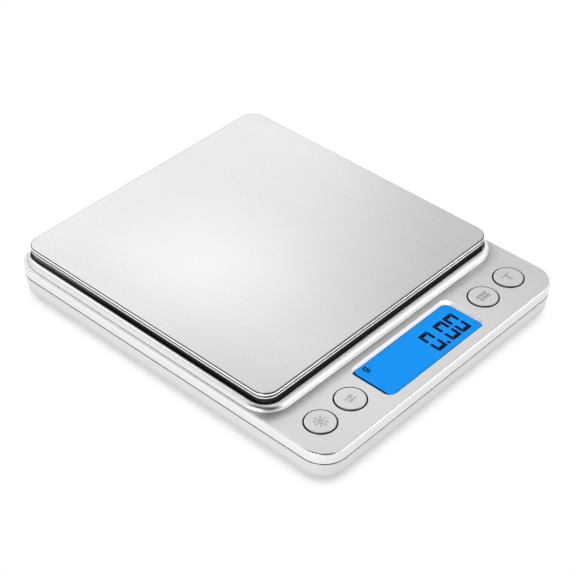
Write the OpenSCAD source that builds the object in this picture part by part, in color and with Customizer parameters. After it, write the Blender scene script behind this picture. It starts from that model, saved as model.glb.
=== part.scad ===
// Pocket gram scale: a bonded steel platform on a load cell, with a front strip
// that carries the display and four keys. Origin at the centre of the footprint,
// on the table. +X is the reader's right, +Y runs from the display to the platform.

/* [Housing] */
// Width of the housing across the reader
body_w = 106; // [106:0.5:108]
// Depth of the housing from front to back
body_d = 127; // [127:0.5:129]
// Corner radius of the housing seen from above
body_r = 8; // [7.8:0.1:8.4]
// Wall thickness of both shells
wall = 1.8; // [1.7:0.05:1.8]
// Height of the flat strip round the display
strip_z = 12.4; // [12.4:0.1:12.6]
// Radius of the lower outside edge
foot_edge_r = 2.4; // [1.8:0.1:2.6]
// Inward slope of the lower wall, degrees
foot_draft = 5; // [3:0.5:6]

/* [Platform] */
// Side of the square steel platform
plate = 100; // [99.8:0.05:100]
// Corner radius of the platform
plate_r = 4.8; // [4.6:0.1:5]
// Height of the platform's top above the table
plate_z = 18; // [17.9:0.05:18.1]
// Thickness of the steel sheet
sheet = 0.5; // [0.4:0.05:0.5]
// How far the platform centre lies behind the housing centre
plate_y = 11.1; // [11:0.05:11.1]
// Free travel of the platform down to the overload stop
travel = 0.35; // [0.3:0.05:0.4]

/* [Display] */
// Width of the display recess at its top edge
recess_w = 44; // [43.6:0.1:44.4]
// Depth of the display recess at its top edge
recess_d = 15.8; // [15.6:0.1:16]
// Depth from the strip down to the clear window
recess_h = 1.6; // [1.3:0.05:1.6]
// Height of the digits
digit_h = 8.4; // [7.5:0.1:8.6]
// Width of one digit
digit_w = 3.9; // [3.8:0.1:4.1]
// Lean of the digits to the right, in degrees
digit_lean = 2.5; // [0:0.5:6]

/* [Keys] */
// Diameter of the key holes
key_hole = 9.9; // [9.7:0.1:10]
// Diameter of the key caps
key_cap = 9.1; // [9:0.1:9.4]
// Distance from the centre line to the inner keys
key_inner_x = 30; // [29.8:0.1:30.2]
// Distance from the centre line to the outer keys
key_outer_x = 42.4; // [42.2:0.1:42.4]
// How far the key caps stand proud of the strip
key_proud = 0.3; // [0.1:0.05:0.4]

/* [Hidden] */
$fn = 72;
eps = 0.01;

// Heights of the housing, from the table up
floor_z = 1.5;
floor_top = 3.1;
seam_z = 8.4;
seam_gap = 0.4;
shell_z = seam_z + seam_gap;
tongue_top = 10;
ceiling_z = 10.4;
moat_z = 12;
border_z = 14.3;
mesa_z = 14.7;
mesa_ceiling = 13.5;

// Raised border round the platform
border_edge = 1.5;
border_w = 104.6;
border_r = 9;
border_y = plate_y - 0.5;
moat_w = 101.2;
moat_r = 5.7;
mesa_w = 92;
mesa_r = 4;
mesa_wall = 1.4;
mesa_front = plate_y - mesa_w / 2 + mesa_wall;
top_edge_r = 0.5;

// Steel platform and its carrier
skirt_z = plate_z - 2.1;
plate_edge_r = 0.35;
tape = 0.2;
deck_z = plate_z - sheet - tape;
deck_under = 16;
carrier_w = plate - 1.4;
carrier_r = plate_r - 0.7;
ledge_w = plate - 0.2;
ledge_z = 13.9;
ledge_r = 5.2;
carrier_low = 12.6;
carrier_inner = 94.8;
rib_z = 15.2;

// Load cell, a straight beam across the reader
cell_l = 47;
cell_w = 12;
cell_h = 6;
cell_z = 4.6;
cell_top = cell_z + cell_h;
cell_end = 13;
cell_screw_x = [13, 20];
shim = 0.8;
flexure_x = 4.2;
flexure_d = 4.6;
m3_core = 2.9;
m3_hole = 3;
m3_head = 5.5;
m3_head_h = 1.2;

// Display stack on the circuit board
pcb_z = 4.8;
pcb_top = 6.4;
pcb_half = 46;
pcb_front = -60.8;
pcb_back = -27.5;
recess_y = -51.75;
recess_r = 2.6;
recess_slope = 0.3;
window_top = strip_z - recess_h;
window_z = window_top - 0.6;
window_w = 46.8;
window_d = 18.4;
glass_w = 46.4;
glass_d = 18;
glass_z = 8.5;
pane = 0.75;
glass_top = glass_z + 2 * pane;
segment_t = 0.08;

// Keys, in the order light, mode, count, tare
key_y = -51.9;
key_top = strip_z + key_proud;
key_z = 8.9;
key_flange = 11;
key_flange_z = [9.2, 10.3];
mark_h = 0.12;
plunger_top = 8.7;
switch_top = 8.1;
switch_w = 6;

// Screws and bosses
case_screw_at = [[-47, -24], [47, -24], [-47, 36], [47, 36]];
pcb_screw_at = [[-36.2, -57.8], [36.2, -57.8], [-36.2, -31], [36.2, -31]];
foot_at = [[-43, -53.5], [43, -53.5], [-43, 53.5], [43, 53.5]];
foot_d = 9;
foot_pocket = 0.6;
case_boss_z = 4.4;
case_head_z = 3.4;

// Battery bay for two AAA cells laid across the reader
cell_d = 10.5;
aaa_l = 43.7;
nub_l = 0.8;
nub_d = 3.8;
aaa_z = 8.1;
aaa_y = [35.2, 46.4];
spring_l = 3.3;
contact_t = 0.4;
bay_x = aaa_l / 2 + nub_l / 2 + spring_l / 2 + contact_t;
bay_y = [29.6, 52];
bay_wall = 1.2;
bay_top = 13;
door_t = 1.2;
door_gap = 0.2;
door_lip = 0.9;
door_y = [bay_y[0] - door_lip + door_gap, bay_y[1] + door_lip - door_gap];
door_half = bay_x + door_lip - door_gap;
hinge_r = door_t / 2;
hinge_y = door_y[0] + hinge_r;
hinge_z = floor_z + hinge_r;
hinge_pin_r = 0.4;
hinge_bore_r = 0.45;
hinge_pin_l = 1;

// ---- Shared shapes ----

module rounded_rect(w, d, r) {
  square([w - 2 * r, d], center = true);
  square([w, d - 2 * r], center = true);
  for (x = [-1, 1], y = [-1, 1])
    translate([x * (w / 2 - r), y * (d / 2 - r)]) circle(r);
}

module rounded_box(w, d, r, z0, z1)
  translate([0, 0, z0]) linear_extrude(z1 - z0) rounded_rect(w, d, r);

// Sweeps a profile round a rounded rectangle. The profile's x runs outward from
// the corner centres, and its y is height.
module swept_rect(w, d, r) {
  for (q = [[1, 1, 0], [-1, 1, 90], [-1, -1, 180], [1, -1, 270]])
    translate([q[0] * (w / 2 - r), q[1] * (d / 2 - r), 0])
      rotate(q[2]) rotate_extrude(angle = 90) children();
  for (s = [0, 180])
    rotate(s) translate([w / 2 - r, d / 2 - r, 0])
      rotate([90, 0, 0]) linear_extrude(d - 2 * r) children();
  for (s = [90, 270])
    rotate(s) translate([d / 2 - r, w / 2 - r, 0])
      rotate([90, 0, 0]) linear_extrude(w - 2 * r) children();
}

module core_box(w, d, r, z0, z1)
  translate([r - w / 2, r - d / 2, z0]) cube([w - 2 * r, d - 2 * r, z1 - z0]);

// Rounded box whose upper outside edge has radius e
module soft_top_box(w, d, r, z0, z1, e) {
  swept_rect(w, d, r) {
    translate([0, z0]) square([r, z1 - z0 - e]);
    translate([0, z0]) square([r - e, z1 - z0]);
    intersection() {
      translate([r - e, z1 - e]) circle(e);
      translate([r - e, z1 - e]) square(e);
    }
  }
  core_box(w, d, r, z0, z1);
}

// Screw with its head's outer face at z 0 and its shank along +Z
module screw(head_d, head_h, shank_d, shank_l) {
  cross_w = head_d * 0.16;
  cross_l = head_d * 0.6;
  difference() {
    union() {
      cylinder(h = head_h, d = head_d);
      cylinder(h = head_h + shank_l, d = shank_d);
    }
    for (a = [0, 90])
      rotate(a) translate([-cross_l / 2, -cross_w / 2, -eps])
        cube([cross_l, cross_w, head_h * 0.55]);
  }
}

// Lead of round section: along -Y from the start, then a bend down to the board
module lead(x, y0, y1, z_run, z_end, d, bend) {
  translate([x, y0, z_run]) rotate([90, 0, 0]) cylinder(h = y0 - y1 - bend, d = d);
  translate([x, y1 + bend, z_run - bend]) rotate([90, 0, -90])
    rotate_extrude(angle = 90) translate([bend, 0]) circle(d = d);
  translate([x, y1, z_end]) cylinder(h = z_run - bend - z_end, d = d);
}

// ---- Housing ----

module display_recess() {
  low_w = recess_w - 2 * recess_slope;
  low_d = recess_d - 2 * recess_slope;
  low_r = recess_r - recess_slope;
  rise = recess_slope * eps / recess_h;
  translate([0, recess_y, 0]) {
    swept_rect(low_w, low_d, low_r)
      polygon([
        [0, window_top - eps], [low_r, window_top - eps], [low_r, window_top],
        [recess_r + rise, strip_z + eps], [0, strip_z + eps]
      ]);
    core_box(low_w, low_d, low_r, window_top - eps, strip_z + eps);
  }
}

module top_shell_outside() {
  soft_top_box(body_w, body_d, body_r, shell_z, strip_z, top_edge_r);
  translate([0, border_y, 0])
    soft_top_box(border_w, border_w, border_r, strip_z - top_edge_r, border_z, border_edge);
}

module top_shell_inside() {
  rounded_box(body_w - 2, body_d - 2, body_r - 1, shell_z - eps, tongue_top + 0.1);
  rounded_box(body_w - 2 * wall, body_d - 2 * wall, body_r - wall, shell_z, ceiling_z);
  translate([0, plate_y, 0])
    rounded_box(mesa_w - 2 * mesa_wall, mesa_w - 2 * mesa_wall, mesa_r - 1, shell_z, mesa_ceiling);
}

module load_boss_opening()
  translate([cell_l / 2 - cell_end - 1.2, plate_y - cell_w / 2 - 1.2, mesa_ceiling - eps])
    cube([cell_end + 2.4, cell_w + 2.4, mesa_z - mesa_ceiling + 2 * eps]);

module top_shell() color("lightgray") {
  difference() {
    union() {
      difference() {
        top_shell_outside();
        translate([0, plate_y, 0])
          rounded_box(moat_w, moat_w, moat_r, moat_z, border_z + eps);
      }
      translate([0, plate_y, 0]) rounded_box(mesa_w, mesa_w, mesa_r, moat_z - 1, mesa_z);
    }
    top_shell_inside();
    display_recess();
    translate([0, recess_y, 0])
      rounded_box(window_w + 0.2, window_d + 0.2, 1, ceiling_z - eps, window_top);
    for (x = [-key_outer_x, -key_inner_x, key_inner_x, key_outer_x])
      translate([x, key_y, ceiling_z - eps])
        cylinder(h = strip_z - ceiling_z + 2 * eps, d = key_hole);
    load_boss_opening();
  }
  for (p = case_screw_at)
    translate([p[0], p[1], case_boss_z]) difference() {
      cylinder(h = ceiling_z - case_boss_z, d = 5);
      translate([0, 0, -eps]) cylinder(h = 5.8, d = 1.8);
    }
  for (p = pcb_screw_at)
    translate([p[0], p[1], pcb_top]) difference() {
      cylinder(h = (p[1] < mesa_front ? ceiling_z : mesa_ceiling) - pcb_top, d = 4);
      translate([0, 0, -eps]) cylinder(h = 3.5, d = 1.5);
    }
}

// Tapered wall that meets the floor in the radius e, and the tongue above it
module bottom_shell_outside() {
  r = body_r;
  e = foot_edge_r;
  low = floor_z + e;
  reach = r - tan(foot_draft) * (seam_z - low) - e / cos(foot_draft);
  centre = [reach, low];
  outward = e * [cos(foot_draft), -sin(foot_draft)];
  swept_rect(body_w, body_d, r) {
    polygon([
      [0, floor_z], [reach, floor_z], centre, centre + outward, [r, seam_z], [0, seam_z]
    ]);
    intersection() {
      translate(centre) circle(e);
      polygon([centre, centre - [0, 2 * e], centre + [2 * e, -2 * e], centre + 2 * outward]);
    }
  }
  core_box(body_w, body_d, r, floor_z, seam_z);
  rounded_box(body_w - 1.6, body_d - 1.6, r - 0.8, seam_z - 1, shell_z);
  rounded_box(body_w - 2.1, body_d - 2.1, r - 1.05, seam_z - 1, tongue_top);
}

module battery_bay_walls()
  translate([-bay_x - bay_wall, bay_y[0] - bay_wall, floor_top - eps])
    cube([2 * (bay_x + bay_wall), bay_y[1] - bay_y[0] + 2 * bay_wall, bay_top - floor_top + eps]);

module battery_bay_opening() {
  translate([-bay_x, bay_y[0], floor_z - eps])
    cube([2 * bay_x, bay_y[1] - bay_y[0], bay_top]);
  translate([-bay_x - door_lip, bay_y[0] - door_lip, floor_z - eps])
    cube([2 * (bay_x + door_lip), bay_y[1] - bay_y[0] + 2 * door_lip, door_t + eps]);
  for (y = aaa_y)
    translate([-bay_x - bay_wall - eps, y - 3, bay_top - 1.6])
      cube([bay_wall + 2 * eps, 6, 2]);
  translate([0, hinge_y, hinge_z]) rotate([0, 90, 0])
    cylinder(h = 2 * (door_half + hinge_pin_l + door_gap), r = hinge_bore_r, center = true);
  translate([0, bay_y[1] + door_lip + 0.6, floor_z - 3.2]) sphere(r = 4);
}

module bottom_shell() color("silver") {
  difference() {
    union() {
      difference() {
        bottom_shell_outside();
        rounded_box(
          body_w - 2 * wall, body_d - 2 * wall, body_r - wall, floor_top, tongue_top + eps
        );
      }
      battery_bay_walls();
      for (p = case_screw_at)
        translate([p[0], p[1], floor_z + 1]) cylinder(h = case_boss_z - floor_z - 1, d = 7);
      translate([-cell_l / 2, plate_y - cell_w / 2, floor_top - 1])
        cube([cell_end, cell_w, cell_z - shim - floor_top + 1]);
      translate([17, plate_y, floor_top - 1]) cylinder(h = 1.7, d = 7);
    }
    battery_bay_opening();
    for (p = case_screw_at)
      translate([p[0], p[1], floor_z - eps]) {
        cylinder(h = case_head_z - floor_z + eps, d = 4.4);
        cylinder(h = 5, d = 2.3);
      }
    for (x = cell_screw_x)
      translate([-x, plate_y, floor_z - eps]) {
        cylinder(h = 1.4 + eps, d = m3_head + 0.3);
        cylinder(h = 5, d = m3_hole + 0.2);
      }
    translate([17, plate_y, floor_z - eps]) cylinder(h = 5, d = m3_hole);
    for (p = foot_at)
      translate([p[0], p[1], floor_z - eps]) cylinder(h = foot_pocket + eps, d = foot_d + 0.2);
  }
}

module rubber_feet() color("dimgray")
  for (p = foot_at)
    translate([p[0], p[1], 0]) rotate_extrude() {
      square([foot_d / 2 - 0.5, floor_z + foot_pocket]);
      translate([0, 0.5]) square([foot_d / 2, floor_z + foot_pocket - 0.5]);
      translate([foot_d / 2 - 0.5, 0.5]) circle(0.5);
    }

module case_screws() color("silver")
  for (p = case_screw_at)
    translate([p[0], p[1], case_head_z - 1.5]) screw(4, 1.5, 1.7, 6.4);

// ---- Platform ----

module platform_plate() color("gainsboro")
  translate([0, plate_y, 0]) difference() {
    soft_top_box(plate, plate, plate_r, skirt_z, plate_z, plate_edge_r);
    rounded_box(
      plate - 2 * sheet, plate - 2 * sheet, plate_r - sheet, skirt_z - eps, plate_z - sheet
    );
    difference() {
      rounded_box(plate + 1, plate + 1, plate_r + 0.5, plate_z - 1.45, plate_z - 1.2);
      rounded_box(plate - 0.4, plate - 0.4, plate_r - 0.2, plate_z - 1.5, plate_z - 1.1);
    }
  }

module platform_tape() color("white")
  for (a = [0 : 90 : 270])
    translate([0, plate_y, deck_z]) rotate(a) translate([-40, 36, 0]) cube([70, 8, tape]);

module carrier_ribs()
  for (a = [0, 90], s = [-30, -10, 10, 30])
    translate([0, plate_y, 0]) rotate(a)
      translate([s - 0.6, -carrier_inner / 2, rib_z])
        cube([1.2, carrier_inner, deck_under - rib_z + eps]);

module pan_carrier() color("#1c1c1e")
  difference() {
    union() {
      translate([0, plate_y, 0]) difference() {
        union() {
          rounded_box(carrier_w, carrier_w, carrier_r, carrier_low, deck_z);
          rounded_box(ledge_w, ledge_w, ledge_r, carrier_low, ledge_z);
        }
        rounded_box(carrier_inner, carrier_inner, 2, carrier_low - eps, deck_under);
      }
      carrier_ribs();
      translate([cell_l / 2 - cell_end, plate_y - cell_w / 2, cell_top + shim])
        cube([cell_end, cell_w, deck_under - cell_top - shim + eps]);
    }
    for (x = cell_screw_x)
      translate([x, plate_y, cell_top]) {
        cylinder(h = deck_z - cell_top + eps, d = m3_hole + 0.2);
        translate([0, 0, deck_z - cell_top - m3_head_h - 0.2])
          cylinder(h = m3_head_h + 0.2 + eps, d = m3_head + 0.3);
      }
  }

module carrier_screws() color("silver")
  for (x = cell_screw_x)
    translate([x, plate_y, deck_z - 0.2]) mirror([0, 0, 1]) screw(m3_head, m3_head_h, m3_core, 9.6);

// ---- Load cell ----

module end_shim(x0, z) difference() {
  translate([x0, plate_y - cell_w / 2, z]) cube([cell_end, cell_w, shim]);
  for (x = cell_screw_x)
    translate([sign(x0) * x, plate_y, z - eps]) cylinder(h = shim + 2 * eps, d = m3_hole + 0.2);
}

module carrier_spacer() color("silver") end_shim(cell_l / 2 - cell_end, cell_top);

module load_cell_spacer() color("silver") end_shim(-cell_l / 2, cell_z - shim);

module load_cell() color("silver")
  difference() {
    translate([-cell_l / 2, plate_y - cell_w / 2, cell_z]) cube([cell_l, cell_w, cell_h]);
    translate([0, plate_y, cell_z + cell_h / 2]) rotate([90, 0, 0])
      for (x = [-flexure_x, flexure_x])
        translate([x, 0, 0]) cylinder(h = cell_w + 1, d = flexure_d, center = true);
    translate([-flexure_x, plate_y - cell_w, cell_z + cell_h / 2 - 0.8])
      cube([2 * flexure_x, 2 * cell_w, 1.6]);
    for (s = [-1, 1], x = cell_screw_x)
      translate([s * x, plate_y, cell_z - eps]) cylinder(h = cell_h + 2 * eps, d = m3_hole);
  }

module load_cell_screws() color("silver")
  for (x = cell_screw_x)
    translate([-x, plate_y, floor_z + 0.2]) screw(m3_head, m3_head_h, m3_core, 6.5);

module overload_stop_screw() color("silver")
  translate([17, plate_y, floor_z + 0.3]) difference() {
    cylinder(h = cell_z - travel - floor_z - 0.3, d = m3_core);
    translate([0, 0, -eps]) cylinder(h = 1, d = 1.5, $fn = 6);
  }

module gauge(x, z) translate([x - 2.5, plate_y - 1.7, z]) cube([5, 3.4, 0.1]);

module strain_gauges() color("gold")
  for (x = [-flexure_x, flexure_x]) {
    gauge(x, cell_top);
    gauge(x, cell_z - 0.1);
  }

module gauge_sealant() color("white") {
  difference() {
    translate([-8, plate_y - 4.8, cell_top]) cube([16, 9.6, 0.6]);
    for (x = [-flexure_x, flexure_x]) gauge(x, cell_top);
  }
  difference() {
    translate([-8, plate_y - 4.8, cell_z - 0.6]) cube([16, 9.6, 0.6]);
    for (x = [-flexure_x, flexure_x]) gauge(x, cell_z - 0.1);
  }
}

module load_cell_wires() color("firebrick")
  for (x = [-4.5 : 3 : 4.5]) lead(x, plate_y - 4.8, -29, 11, pcb_top, 0.8, 2);

// ---- Circuit board ----

module main_pcb() color("seagreen")
  difference() {
    translate([-pcb_half, pcb_front, pcb_z])
      cube([2 * pcb_half, pcb_back - pcb_front, pcb_top - pcb_z]);
    for (p = pcb_screw_at)
      translate([p[0], p[1], pcb_z - eps]) cylinder(h = pcb_top - pcb_z + 2 * eps, d = 1.9);
  }

module pcb_screws() color("silver")
  for (p = pcb_screw_at)
    translate([p[0], p[1], pcb_z - 1.2]) screw(3.4, 1.2, 1.4, 4.8);

module controller_glob() color("#202020")
  intersection() {
    translate([-16, -35, pcb_top - 6]) sphere(r = 7.4);
    translate([-22, -41, pcb_top]) cube([12, 12, 3]);
  }

module adc_chip() color("#202020")
  translate([5, -37, pcb_top + 0.2]) cube([10, 4, 1.5]);

module adc_chip_pins() color("silver")
  for (i = [0 : 7], side = [0, 1])
    translate([5.4 + 1.2 * i, side == 0 ? -38.2 : -33, pcb_top]) {
      cube([0.5, 1.2, 0.25]);
      translate([0, side == 0 ? 1 : 0, 0]) cube([0.5, 0.2, 1]);
    }

module crystal() color("silver")
  translate([19, -38, pcb_top + 1.5]) rotate([0, 90, 0]) {
    cylinder(h = 6, d = 2.1);
    for (y = [-0.5, 0.5])
      translate([0, y, -1.5]) cylinder(h = 1.6, d = 0.3);
  }

module electrolytic_capacitor() color("#2a2a3a")
  translate([19, -30.5, pcb_top]) {
    translate([-2.1, -2.1, 0]) cube([4.2, 4.2, 0.8]);
    cylinder(h = 5.2, d = 4);
  }

module smd_parts() color("burlywood") {
  for (i = [0 : 4])
    translate([24 + 2.2 * i, -33, pcb_top]) cube([0.8, 1.6, 0.6]);
  for (i = [0 : 3], j = [0, 1])
    translate([-32 + 2.4 * i, -36 + 3 * j, pcb_top]) cube([1.6, 0.8, 0.6]);
}

// ---- Keys ----

module switch_bodies() color("#303030")
  for (x = [-key_outer_x, -key_inner_x, key_inner_x, key_outer_x])
    translate([x, key_y, pcb_top]) difference() {
      translate([-switch_w / 2, -switch_w / 2, 0])
        cube([switch_w, switch_w, switch_top - pcb_top]);
      translate([0, 0, 0.6]) cylinder(h = 3, d = 3.3);
    }

module plunger(x) color("black")
  translate([x, key_y, plunger_top - 1.1]) cylinder(h = 1.1, d = 3.2);

module plunger_light() plunger(-key_outer_x);

module plunger_mode() plunger(-key_inner_x);

module plunger_count() plunger(key_inner_x);

module plunger_tare() plunger(key_outer_x);

// Key cap with a rounded rim, a retaining flange and a centre stem.
// The children are the raised mark on its face.
module key_body(x) {
  r = key_cap / 2;
  rim = 0.3;
  translate([x, key_y, 0]) {
    rotate_extrude() difference() {
      union() {
        translate([0, key_z]) square([r, key_top - rim - key_z]);
        translate([0, key_z]) square([r - rim, key_top - key_z]);
        translate([r - rim, key_top - rim]) circle(rim);
        translate([0, key_flange_z[0]])
          square([key_flange / 2, key_flange_z[1] - key_flange_z[0]]);
      }
      translate([1.6, key_z - eps]) square([r - 2.6, 2.4]);
    }
    translate([0, 0, plunger_top]) cylinder(h = 0.5, r = 1.5);
    translate([0, 0, key_top - eps]) linear_extrude(mark_h + eps) children();
  }
}

// Sun: a ring with eight short rays
module button_light() color("lightgray") key_body(-key_outer_x) {
  difference() {
    circle(0.8);
    circle(0.45);
  }
  for (a = [0 : 45 : 315])
    rotate(a) translate([1.3, -0.17]) square([0.8, 0.34]);
}

// Two arrows that change places
module button_mode() color("lightgray") key_body(-key_inner_x)
  for (a = [0, 180])
    rotate(a) {
      translate([-1.6, 0.45]) square([2.4, 0.36]);
      translate([0.7, 0.63]) circle(0.75, $fn = 3);
    }

// Six pieces in two rows
module button_count() color("lightgray") key_body(key_inner_x)
  for (x = [-1.5, 0, 1.5], y = [-0.75, 0.75])
    translate([x, y]) difference() {
      circle(0.6);
      circle(0.3);
    }

// A level pan on its post
module button_tare() color("lightgray") key_body(key_outer_x) {
  translate([-1.5, 1]) square([3, 0.4]);
  translate([-0.2, -1.5]) square([0.4, 2.6]);
}

// ---- Display ----

module display_window() color("#dfe8ff", 0.4)
  translate([0, recess_y, 0]) rounded_box(window_w, window_d, 0.9, window_z, window_top);

module lcd_glass() color("dodgerblue")
  translate([0, recess_y, 0]) {
    rounded_box(glass_w, glass_d, 0.2, glass_z, glass_z + pane);
    rounded_box(glass_w - 0.4, glass_d - 0.4, 0.2, glass_z + pane - eps, glass_top);
  }

// Figure nought of six mitred segments, its lower left corner at the origin
module zero_digit() {
  upright = 0.95;
  cap = 1.3;
  cut = 0.08;
  middle = digit_h / 2;
  for (m = [0, 1], n = [0, 1])
    translate([n * digit_w, m * digit_h]) mirror([n, 0]) mirror([0, m]) {
      polygon([
        [0, cut], [upright, cap + cut], [upright, middle - 0.75], [upright / 2, middle - 0.4],
        [0, middle - 0.6]
      ]);
      polygon([[cut, 0], [digit_w / 2 + eps, 0], [digit_w / 2 + eps, cap], [upright + cut, cap]]);
    }
}

// Unit mark for grams: a round bowl, a stem on its right and a tail curling back below
module gram_mark() {
  outer = 0.85;
  inner = 0.42;
  tail_y = -0.85;
  difference() {
    circle(outer);
    circle(inner);
  }
  translate([inner, tail_y]) square([outer - inner, outer - tail_y]);
  translate([0, tail_y]) difference() {
    circle(outer);
    circle(inner);
    translate([-outer, -0.2]) square(2 * outer);
  }
}

module lcd_segments() color("#05051e") {
  digit_x = [4.45, 10.95, 15.6];
  digit_y = recess_y - digit_h / 2 - 0.05;
  lean = [[1, tan(digit_lean), 0, 0], [0, 1, 0, 0], [0, 0, 1, 0], [0, 0, 0, 1]];
  translate([0, 0, glass_top]) linear_extrude(segment_t) {
    for (x = digit_x)
      translate([x, digit_y]) multmatrix(lean) zero_digit();
    translate([8.95, digit_y]) square([0.9, 1.1]);
    translate([-15.9, recess_y + 6.4]) gram_mark();
  }
}

module zebra_strips() color("#3a3a3a")
  for (y = [recess_y - 8.5, recess_y + 6.9])
    translate([-20, y, pcb_top]) cube([40, 1.6, glass_z - pcb_top]);

module backlight_diffuser() color("white")
  translate([-20, recess_y - 6.4, pcb_top + 0.1]) cube([40, 12.8, glass_z - pcb_top - 0.2]);

module backlight_leds() color("lightyellow")
  for (y = [-3.5, 3.5])
    translate([-21.9, recess_y + y - 1.5, pcb_top]) cube([1.4, 3, 1.4]);

module lcd_frame() color("white")
  translate([0, recess_y, 0]) difference() {
    rounded_box(glass_w + 2.2, glass_d + 1.4, 0.5, pcb_top, glass_top + 0.1);
    rounded_box(glass_w + 0.1, glass_d + 0.1, 0.2, pcb_top - eps, glass_top + 0.2);
  }

// ---- Power ----

module battery_door() color("silver") {
  difference() {
    translate([-door_half, hinge_y, floor_z])
      cube([2 * door_half, door_y[1] - hinge_y, door_t]);
    for (i = [0 : 3])
      translate([-7, door_y[1] - 3 - 1.4 * i, floor_z - eps]) cube([14, 0.6, 0.35]);
  }
  translate([0, hinge_y, hinge_z]) rotate([0, 90, 0]) {
    cylinder(h = 2 * door_half, r = hinge_r, center = true);
    cylinder(h = 2 * (door_half + hinge_pin_l), r = hinge_pin_r, center = true);
  }
}

// AAA cell along X with its nub toward s
module aaa_cell(y, s)
  translate([s * (bay_x - contact_t - nub_l - aaa_l / 2), y, aaa_z])
    rotate([0, 90, 0]) {
      cylinder(h = aaa_l, d = cell_d, center = true);
      mirror([0, 0, s > 0 ? 0 : 1]) cylinder(h = aaa_l / 2 + nub_l, d = nub_d);
    }

module battery_1() color("goldenrod") aaa_cell(aaa_y[0], 1);

module battery_2() color("goldenrod") aaa_cell(aaa_y[1], -1);

// Flat contact on the end wall at side s
module contact_plate(s, y, half, top)
  translate([s * (bay_x - contact_t / 2) - contact_t / 2, y - half, aaa_z - 4])
    cube([contact_t, 2 * half, top - aaa_z + 4]);

// Conical spring, squeezed flat enough that its turns touch, from the wall at side s
module contact_spring(s, y) {
  turns = 7;
  wire = 0.55;
  seat = 0.05;
  pitch = (spring_l + seat - wire) / (turns - 1);
  translate([s * (bay_x - contact_t), y, aaa_z]) rotate([0, -90 * s, 0])
    for (i = [0 : turns - 1])
      translate([0, 0, wire / 2 - seat + pitch * i]) rotate_extrude()
        translate([3.6 - 0.22 * i, 0]) circle(d = wire);
}

module spring_contact() color("silver") {
  contact_plate(-1, aaa_y[0], 2.8, bay_top - 0.3);
  contact_spring(-1, aaa_y[0]);
}

module plate_contact() color("silver") contact_plate(-1, aaa_y[1], 2.8, bay_top - 0.3);

module bridge_contact() color("silver") {
  contact_plate(1, (aaa_y[0] + aaa_y[1]) / 2, 9, aaa_z + 4);
  contact_spring(1, aaa_y[1]);
}

// Lead from a contact over the bay wall, then forward to the board
module battery_lead(x, y) {
  z = bay_top - 0.8;
  translate([-bay_x, y, z]) rotate([0, -90, 0]) cylinder(h = -bay_x - x - 1.5, d = 0.9);
  translate([x + 1.5, y - 1.5, z]) rotate([0, 0, 90]) rotate_extrude(angle = 90)
    translate([1.5, 0]) circle(d = 0.9);
  lead(x, y - 1.5, -29, z, pcb_top, 0.9, 2);
}

module battery_wires() color("firebrick") {
  battery_lead(-28.4, aaa_y[0]);
  battery_lead(-30.4, aaa_y[1]);
}

top_shell();
bottom_shell();
platform_plate();
platform_tape();
pan_carrier();
carrier_screws();
carrier_spacer();
load_cell();
load_cell_spacer();
load_cell_screws();
overload_stop_screw();
strain_gauges();
gauge_sealant();
load_cell_wires();
main_pcb();
controller_glob();
adc_chip();
adc_chip_pins();
crystal();
electrolytic_capacitor();
smd_parts();
pcb_screws();
switch_bodies();
plunger_light();
plunger_mode();
plunger_count();
plunger_tare();
button_light();
button_mode();
button_count();
button_tare();
lcd_frame();
lcd_glass();
lcd_segments();
zebra_strips();
backlight_diffuser();
backlight_leds();
display_window();
battery_door();
battery_1();
battery_2();
spring_contact();
plate_contact();
bridge_contact();
battery_wires();
case_screws();
rubber_feet();
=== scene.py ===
"""Looks for the digital gram scale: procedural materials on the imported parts, the coils
of the battery contacts, soft studio light and the camera. Everything is in metres."""

import math

import bmesh
import bpy
from mathutils import Matrix, Vector


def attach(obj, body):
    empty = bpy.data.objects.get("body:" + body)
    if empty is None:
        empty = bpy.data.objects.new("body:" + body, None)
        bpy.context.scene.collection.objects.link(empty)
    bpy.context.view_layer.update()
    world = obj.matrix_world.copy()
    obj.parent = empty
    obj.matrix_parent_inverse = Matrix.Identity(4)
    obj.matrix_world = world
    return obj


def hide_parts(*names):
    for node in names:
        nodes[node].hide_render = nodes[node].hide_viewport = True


MM = 0.001

CAMERA_PLACE = (-0.28969, -0.26476, 0.32759)
CAMERA_TARGET = (-0.00767, -0.00809, 0.014)
CAMERA_ROLL = math.radians(0.38)
FOCAL_LENGTH = 104.25
SENSOR = 36.0
TOWARD_CAMERA = (Vector(CAMERA_PLACE) - Vector(CAMERA_TARGET)).normalized()

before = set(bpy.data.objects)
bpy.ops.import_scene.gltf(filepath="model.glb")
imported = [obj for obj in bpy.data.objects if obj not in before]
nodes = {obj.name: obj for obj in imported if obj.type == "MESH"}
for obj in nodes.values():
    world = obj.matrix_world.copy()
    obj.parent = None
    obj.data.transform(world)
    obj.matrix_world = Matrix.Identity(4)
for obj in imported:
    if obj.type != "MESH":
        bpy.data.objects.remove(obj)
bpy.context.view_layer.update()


# ---- Places and tones, in the CAD's frame ----

# Distance over which a sharp change of tone is drawn
SHARP = 0.04 * MM

SHELL = (0.53, 0.53, 0.535, 1)
STEEL = (0.562, 0.562, 0.565, 1)

# Spans over which the painted light and shade change, as start and end: two up the outer wall, one
# just below the front strip and one just above it, and one up the raised border
FOOT_Z = (2.4 * MM, 5.6 * MM)
SHOULDER_Z = (10.4 * MM, 11.9 * MM)
STRIP_FROM_Z = (12.1 * MM, 12.35 * MM)
STRIP_TO_Z = (12.45 * MM, 12.7 * MM)
CREST_Z = (13.9 * MM, 14.25 * MM)
# The same along Y where the border's front begins, and along X toward the ends
BORDER_FRONT_Y = (-39.3 * MM, -36.0 * MM)
ENDS_X = (25 * MM, 50 * MM)
CREASE_END_X = (30 * MM, 48 * MM)
# Grey of the painted highlight on the border's crest
CREST_TONE = 0.8
# Near-black of the painted shade in gaps and key holes
GAP_TONE = 0.006
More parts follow.
